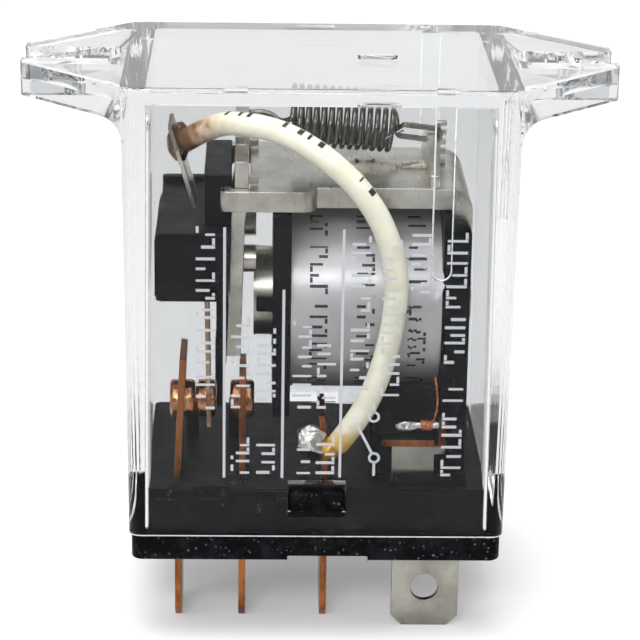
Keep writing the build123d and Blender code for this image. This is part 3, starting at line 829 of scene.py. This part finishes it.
def coil_print():
    """Dark strokes printed round the coil's tape, in three columns."""
    low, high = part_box("coil_tape")
    axis = (low + high) / 2
    radius = (high.z - low.z) / 2 + 0.012 * MM
    mesh = bmesh.new()
    random.seed(8)

    def stroke(mesh, x0, x1, turn0, turn1):
        def seat(u, v, point):
            turn = math.radians(180 + (turn0 + (turn1 - turn0) * v) * 8.0)
            y, z = radius * math.cos(turn), radius * math.sin(turn)
            return Vector(((x0, x1)[u] * MM, axis.y + y, axis.z + z))

        patch(mesh, [(0, 0, 0)] * 4, seat, 2)

    # A stroke's place round the tape is counted in steps of 8 degrees from the front, downwards.
    for column in (0.0, 3.4, 7.15):
        strokes(mesh, column, 1.3, ((-8.5, -6.6), (-5.6, -2.4), (-1.2, 4.6), (5.6, 8.0)), stroke)
    dark = ink("coil_ink", (0.022, 0.022, 0.026), (0.16, 0.16, 0.17), 0.58)
    new_piece("coil_print", finished(mesh, "coil_print"), dark, "frame")


def solders():
    """The soldered joints: lead to tab, lead to common blade, coil wires to pins."""
    bright = bright_solder("solder")
    low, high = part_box("lead_solder")
    centre = (low + high) / 2 + Vector((0.1, 0, -0.1)) * MM
    joint = drop_mesh("lead_joint", centre, (high - low) * 0.5, 3, 12)
    fluxed = bright_solder("fluxed_solder", 0.36, (0.085, 0.036, 0.012))
    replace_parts(new_piece("lead_joint", joint, fluxed, "armature"), "lead_solder")

    low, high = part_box("com_solder")
    centre = (low + high) / 2 + Vector((-0.35, 0.0, -0.05)) * MM
    joint = drop_mesh("common_joint", centre, (1.45 * MM, 1.2 * MM, 1.5 * MM), 12, 26)
    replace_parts(new_piece("common_joint", joint, bright, "frame"), "com_solder")
    amber = bright_solder("flux", 0.6, (0.62, 0.36, 0.05))
    beside = centre + Vector((1.25, -0.35, -0.35)) * MM
    pool = drop_mesh("common_flux", beside, (0.8 * MM, 0.75 * MM, 0.85 * MM), 5, 6)
    new_piece("common_flux", pool, amber, "frame")

    for side in ("front", "rear"):
        low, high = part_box("pin_solder_" + side)
        joint = drop_mesh("pin_joint_" + side, (low + high) / 2, (high - low) * 0.52, 9, 18)
        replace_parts(new_piece("pin_joint_" + side, joint, bright, "frame"), "pin_solder_" + side)


def coil_leads(enamel):
    """The ends of the winding: a few turns round each pin, then a rise to the coil."""
    wire_radius = 0.07 * MM
    per_turn = 20
    steps = 5 * per_turn + 5
    rise = [(8.5, 7.72, 10.25), (8.7, 7.6, 10.9), (8.78, 7.4, 11.7), (8.7, 7.2, 12.6), (8.55, 7.05, 13.4)]
    for side, toward in (("front", -1), ("rear", 1)):
        low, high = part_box("coil_lead_" + side)
        centre = (low + high) / 2
        radius = (high.z - low.z) / 2 - wire_radius
        points = []
        for k in range(steps + 1):
            turn = 2 * math.pi * k / per_turn
            x = low.x + 0.1 * MM + (high.x - low.x - 0.2 * MM) * k / steps
            y, z = toward * radius * math.cos(turn), radius * math.sin(turn)
            points.append(Vector((x, centre.y + y, centre.z + z)))
        points += [Vector((x, toward * y, z)) * MM for x, y, z in rise]
        wire = tube_mesh("coil_wire_" + side, points, wire_radius, 8)
        piece = new_piece("coil_wire_" + side, wire, enamel, "frame")
        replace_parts(piece, "coil_lead_" + side)


# ---------------------------------------------------------------- assembly
blacks = black_moulding("black_moulding")
carrier_black = black_moulding("carrier_black", 0.3, 0.08)
steel = plated_metal(
    "plated_steel", (0.60, 0.575, 0.52), (0.39, 0.37, 0.325), 0.26, (1, 0.12, 0.12)
).material
finish(clear_plastic(), "clear_cover")
finish(blacks, "base_block", "coil_bobbin")
finish(carrier_black, "contact_carrier")
finish(blade_metal("contact_blade", "X"), "nc_terminal", "no_terminal", "com_terminal")
finish(blade_metal("coil_blade", "Y", 8.18 * MM), "coil_terminal_front", "coil_terminal_rear")
finish(contact_metal(), "nc_contact", "no_contact", "moving_contact")
finish(strip_copper(), "moving_blade")
finish(steel, "yoke", "armature", "core", "spring_post", "post_rivet", "armature_rivets")
finish(film_tape(), "coil_tape")
wire_enamel = enamelled_wire()
finish(wire_enamel, "coil_winding")
tinned = plated_metal("tinned_wire", (0.78, 0.76, 0.72), (0.6, 0.58, 0.52), 0.2).material
finish(tinned, "coil_pin_front", "coil_pin_rear")

soften(0.10 * MM, "clear_cover")
soften(0.12 * MM, "base_block", "coil_bobbin", "contact_carrier")
soften(0.06 * MM, "yoke", "armature", "spring_post")
soften(0.05 * MM, "nc_terminal", "no_terminal", "com_terminal", "coil_terminal_front", "coil_terminal_rear")

camera()
lead()
return_spring()
solders()
coil_leads(wire_enamel)
coil_print()
front_print()
painted_edge_highlights()
studio()
